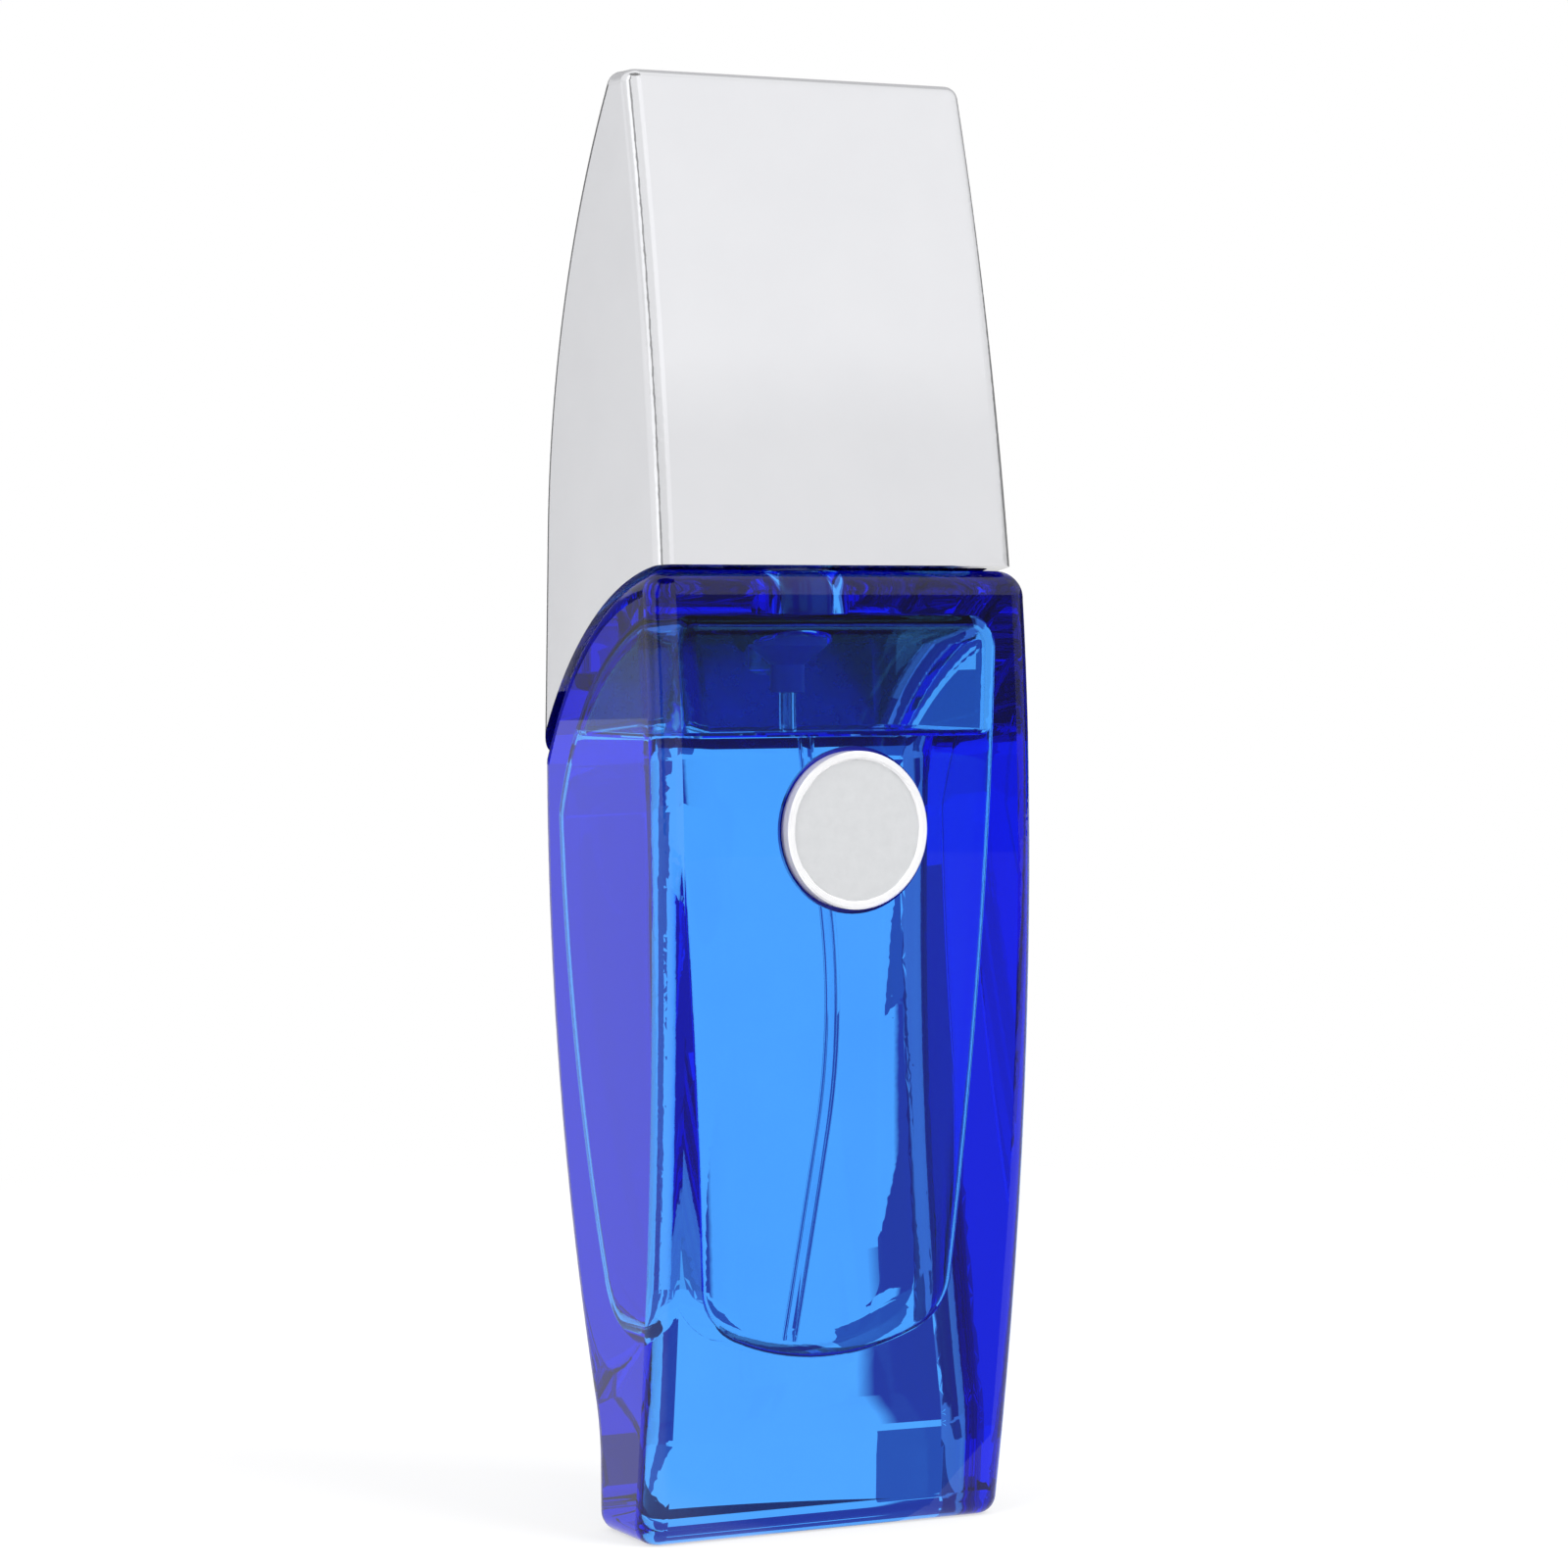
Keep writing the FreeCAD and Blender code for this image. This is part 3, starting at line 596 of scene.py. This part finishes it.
# painted shade: darker blue glass on the rounded corners at the back
def darkenCorners(settings):
    glass = bpy.data.objects["glass_bottle"]
    glass.data.materials.append(lacqueredGlass("cornerShadeGlass", settings["corner"], settings))
    cornerShadeSlot = len(glass.data.materials) - 1
    darkened = 0
    for polygon in glass.data.polygons:
        turned = min(abs(polygon.normal.x), polygon.normal.y) > settings["cornerTurn"]
        if turned and polygon.material_index == 0:
            polygon.material_index = cornerShadeSlot
            darkened += 1
    print("corners darkened,", darkened, "faces")


darkenCorners(glassSettings)


# a new piece from a solid's mesh, with its corners merged, left in edit mode
def copyPiece(name, node, merge):
    bpy.ops.object.select_all(action="DESELECT")
    piece = bpy.data.objects.new(name, bpy.data.objects[node].data.copy())
    scene.collection.objects.link(piece)
    bpy.context.view_layer.objects.active = piece
    piece.select_set(True)
    bpy.ops.object.mode_set(mode="EDIT")
    bpy.ops.mesh.select_mode(type="VERT")
    bpy.ops.mesh.select_all(action="SELECT")
    bpy.ops.mesh.remove_doubles(threshold=merge)
    return piece


# exact normals of the solid's own faces, which merging its corners had blurred
def copyNormals(piece, source, settings):
    mesh = source.data
    places = [vert.co for vert in mesh.vertices]
    faces = BVHTree.FromPolygons(places, [face.vertices for face in mesh.polygons])
    normals = []
    for polygon in piece.data.polygons:
        for corner in polygon.vertices:
            place = piece.data.vertices[corner].co
            found = faces.find_nearest_range(place, settings["normalReach"])
            near = [mesh.polygons[hit[2]] for hit in found]
            match = max(near, key=lambda face: face.normal.dot(polygon.normal), default=None)
            if match is None or match.normal.dot(polygon.normal) < settings["normalMatch"]:
                normals.append(polygon.normal.copy())
                continue
            ends = {loop: places[mesh.loops[loop].vertex_index] for loop in match.loop_indices}
            nearest = min(ends, key=lambda loop: (ends[loop] - place).length)
            normals.append(mesh.corner_normals[nearest].vector.copy())
    piece.data.normals_split_custom_set(normals)


def makeLiquid(settings):
    liquid = copyPiece("liquid", "aftershave_liquid", settings["merge"])
    bpy.ops.mesh.select_all(action="DESELECT")
    mesh = bmesh.from_edit_mesh(liquid.data)
    top = settings["level"] - settings["topSlack"]
    for face in mesh.faces:  # the flat top comes off, which frees the dip tube's channel
        face.select = all(vert.co.z > top for vert in face.verts)
    bmesh.update_edit_mesh(liquid.data)
    bpy.ops.mesh.delete(type="FACE")
    mesh = bmesh.from_edit_mesh(liquid.data)
    mesh.verts.ensure_lookup_table()
    upper = [vert for vert in mesh.verts if vert.co.z > settings["level"] - settings["channelReach"]]
    seed = min(upper, key=lambda vert: math.hypot(vert.co.x, vert.co.y))
    seed.select = True
    bmesh.update_edit_mesh(liquid.data)
    bpy.ops.mesh.select_linked()
    bpy.ops.mesh.delete(type="VERT")
    bpy.ops.mesh.select_all(action="DESELECT")
    bpy.ops.mesh.select_mode(type="EDGE")
    bpy.ops.mesh.select_non_manifold(extend=False)
    bpy.ops.mesh.edge_face_add()
    for inset, drop in settings["menisci"]:  # the edge climbs the wall
        bpy.ops.mesh.inset(thickness=inset, depth=drop)
    bpy.ops.mesh.quads_convert_to_tris()
    bpy.ops.mesh.select_all(action="SELECT")
    bpy.ops.mesh.normals_make_consistent(inside=False)
    bpy.ops.object.mode_set(mode="OBJECT")
    bpy.ops.object.shade_smooth()
    copyNormals(liquid, bpy.data.objects["aftershave_liquid"], settings)
    spread = liquid.modifiers.new("spread", "DISPLACE")
    spread.strength = settings["overlap"]
    spread.mid_level = 0
    bpy.ops.object.modifier_apply(modifier=spread.name)
    liquid.data.materials.clear()
    # the glass already bends light to the liquid, so the liquid bends it only at its surface
    for name, ior in (("liquidTop", settings["ior"]), ("liquidAtGlass", 1.0)):
        liquid.data.materials.append(clearFinish(name, settings["look"], ior)[0])
    lowest = settings["level"] - settings["surfaceDepth"]
    for polygon in liquid.data.polygons:
        surface = polygon.normal.z > settings["surfaceTilt"] and polygon.center.z > lowest
        polygon.material_index = 0 if surface else 1
    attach(liquid, "bottle")
    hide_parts("aftershave_liquid")
    print("liquid made,", len(liquid.data.polygons), "faces")


makeLiquid(liquidSettings)

capSettings = {
    "silver": {
        "dark": (0.805, 0.805, 0.812), "light": (0.825, 0.825, 0.83), "scale": 90.0,
        "roughness": (0.05, 0.08), "metal": 0.85,
    },
    # painted light: the cap's inside is coloured navy blue for the dim blue light that reaches it through the
    # glass
    "inside": {
        "dark": (0.06, 0.050, 0.36), "light": (0.075, 0.065, 0.42), "scale": 300.0,
        "roughness": (0.22, 0.30), "metal": 1.0, "bump": 0.1,
    },
}


def dressCap(settings):
    dress("cap_shell", mottledFinish("capSilver", settings["silver"]))
    # painted light: navy blue on the cap's inside faces
    inside = mottledFinish("capInsideBlueLight", settings["inside"])
    print("cap dressed,", splitInside("cap_shell", inside, across=True), "faces inside")


dressCap(capSettings)

medallionSettings = {
    "face": {
        "dark": (0.64, 0.65, 0.66), "light": (0.68, 0.69, 0.70), "scale": 700.0,
        "roughness": (0.30, 0.38), "metal": 0.45,
    },
    "rim": {
        "dark": (0.86, 0.86, 0.87), "light": (0.90, 0.90, 0.91), "scale": 700.0,
        "roughness": (0.14, 0.20), "metal": 0.4,
    },
    "rimFrom": 0.0076,
}


def dressMedallion(settings):
    dress("medallion_disc", mottledFinish("medallionMetal", settings["face"]))
    medallion = bpy.data.objects["medallion_disc"]
    medallion.data.materials.append(mottledFinish("rimMetal", settings["rim"]))
    for polygon in medallion.data.polygons:
        away = math.hypot(polygon.center.x, polygon.center.z - pocketSettings["height"])
        if away > settings["rimFrom"]:
            polygon.material_index = 1
    print("medallion dressed")


dressMedallion(medallionSettings)

pumpSettings = {
    "collarSilver": {
        "nodes": ("collar_sleeve", "head_shell"),
        "dark": (0.86, 0.86, 0.87), "light": (0.90, 0.90, 0.91), "scale": 300.0,
        "roughness": (0.12, 0.18), "metal": 1.0,
    },
    "crimpAluminium": {
        "nodes": ("crimp_ferrule",),
        "dark": (0.78, 0.79, 0.80), "light": (0.84, 0.85, 0.86), "scale": 500.0,
        "roughness": (0.25, 0.35), "metal": 1.0,
    },
    "ballSteel": {
        "nodes": ("inlet_ball",),
        "dark": (0.62, 0.62, 0.63), "light": (0.70, 0.70, 0.71), "scale": 900.0,
        "roughness": (0.08, 0.14), "metal": 1.0,
    },
    # painted light: the housing is coloured deep blue for the dim blue light it gets through the glass
    "housingBlueLight": {
        "nodes": ("pump_housing",),
        "dark": (0.05, 0.012, 0.62), "light": (0.06, 0.015, 0.70), "scale": 250.0,
        "roughness": (0.4, 0.5), "bump": 0.1,
    },
    "pumpPlastic": {
        "nodes": ("stem_guide", "pump_stem", "collar_liner"),
        "dark": (0.10, 0.10, 0.11), "light": (0.13, 0.13, 0.14), "scale": 250.0,
        "roughness": (0.35, 0.45), "bump": 0.1,
    },
    "pistonPlastic": {
        "nodes": ("pump_piston",),
        "dark": (0.70, 0.72, 0.74), "light": (0.78, 0.79, 0.80), "scale": 300.0,
        "roughness": (0.4, 0.5), "bump": 0.1,
    },
    "gasketRubber": {
        "nodes": ("neck_gasket", "stem_seal"),
        "dark": (0.05, 0.05, 0.055), "light": (0.08, 0.08, 0.085), "scale": 600.0,
        "roughness": (0.6, 0.75), "bump": 0.3,
    },
    "headPlastic": {
        "nodes": ("head_core", "nozzle_insert"),
        "dark": (0.75, 0.76, 0.78), "light": (0.82, 0.83, 0.84), "scale": 300.0,
        "roughness": (0.35, 0.45), "bump": 0.1,
    },
    "insertPlastic": {
        "nodes": ("cap_insert",),
        "dark": (0.030, 0.030, 0.035), "light": (0.045, 0.045, 0.05), "scale": 300.0,
        "roughness": (0.4, 0.55), "bump": 0.1,
    },
}


def dressPump(settings):
    for name, look in settings.items():
        material = mottledFinish(name, look)
        for node in look["nodes"]:
            dress(node, material)
    print("pump dressed,", len(settings), "finishes")


dressPump(pumpSettings)

filmSettings = {
    "gap": 0.00003,  # keeps it clear of the glass it sticks to
    "edge": 0.00002,
    "steps": 2,
    "sides": 96,
    "look": {
        "dark": (0.50, 0.53, 0.58), "light": (0.58, 0.60, 0.64), "scale": 500.0,
        "roughness": (0.3, 0.4),
    },
}


def makeFilm(settings):
    low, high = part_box("medallion_adhesive")
    middle = (low + high) / 2
    depth = high.y - low.y - settings["gap"]
    bpy.ops.object.select_all(action="DESELECT")
    bpy.ops.mesh.primitive_cylinder_add(
        vertices=settings["sides"],
        radius=(high.x - low.x) / 2,
        depth=depth,
        location=(middle.x, low.y + depth / 2, middle.z),
        rotation=(math.pi / 2, 0, 0),
    )
    film = bpy.context.active_object
    film.name = "film"
    bpy.ops.object.transform_apply(location=True, rotation=True, scale=True)
    rounded = film.modifiers.new("rounded", "BEVEL")
    rounded.width = settings["edge"]
    rounded.segments = settings["steps"]
    bpy.ops.object.modifier_apply(modifier=rounded.name)
    bpy.ops.object.shade_smooth_by_angle()
    film.data.materials.append(mottledFinish("adhesiveFilm", settings["look"]))
    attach(film, "bottle")
    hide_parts("medallion_adhesive")
    print("film made,", len(film.data.polygons), "faces")


makeFilm(filmSettings)

springSettings = {
    "merge": 0.000002,
    "look": {
        "dark": (0.55, 0.55, 0.56), "light": (0.65, 0.65, 0.66), "scale": 800.0,
        "roughness": (0.2, 0.3), "metal": 1.0,
    },
}


# a copy of the return spring
def makeSpring(settings):
    spring = copyPiece("spring", "return_spring", settings["merge"])
    bpy.ops.object.mode_set(mode="OBJECT")
    bpy.ops.mesh.customdata_custom_splitnormals_clear()
    bpy.ops.object.shade_smooth_by_angle()
    spring.data.materials.clear()
    spring.data.materials.append(mottledFinish("springSteel", settings["look"]))
    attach(spring, "bottle")
    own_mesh(spring)
    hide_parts("return_spring")


makeSpring(springSettings)

tubeSettings = {
    "ior": 1.49,
    "look": {"scale": 200.0, "roughness": 0.02, "thin": (0.9, 0.93, 0.96), "thick": (0.96, 0.98, 1.0)},
}


def dressTube(settings):
    material, tree, shader = clearFinish("tubePlastic", settings["look"], settings["ior"])
    wetBelow(tree, shader, settings["ior"])
    dress("dip_tube", material)
    print("tube dressed")


dressTube(tubeSettings)
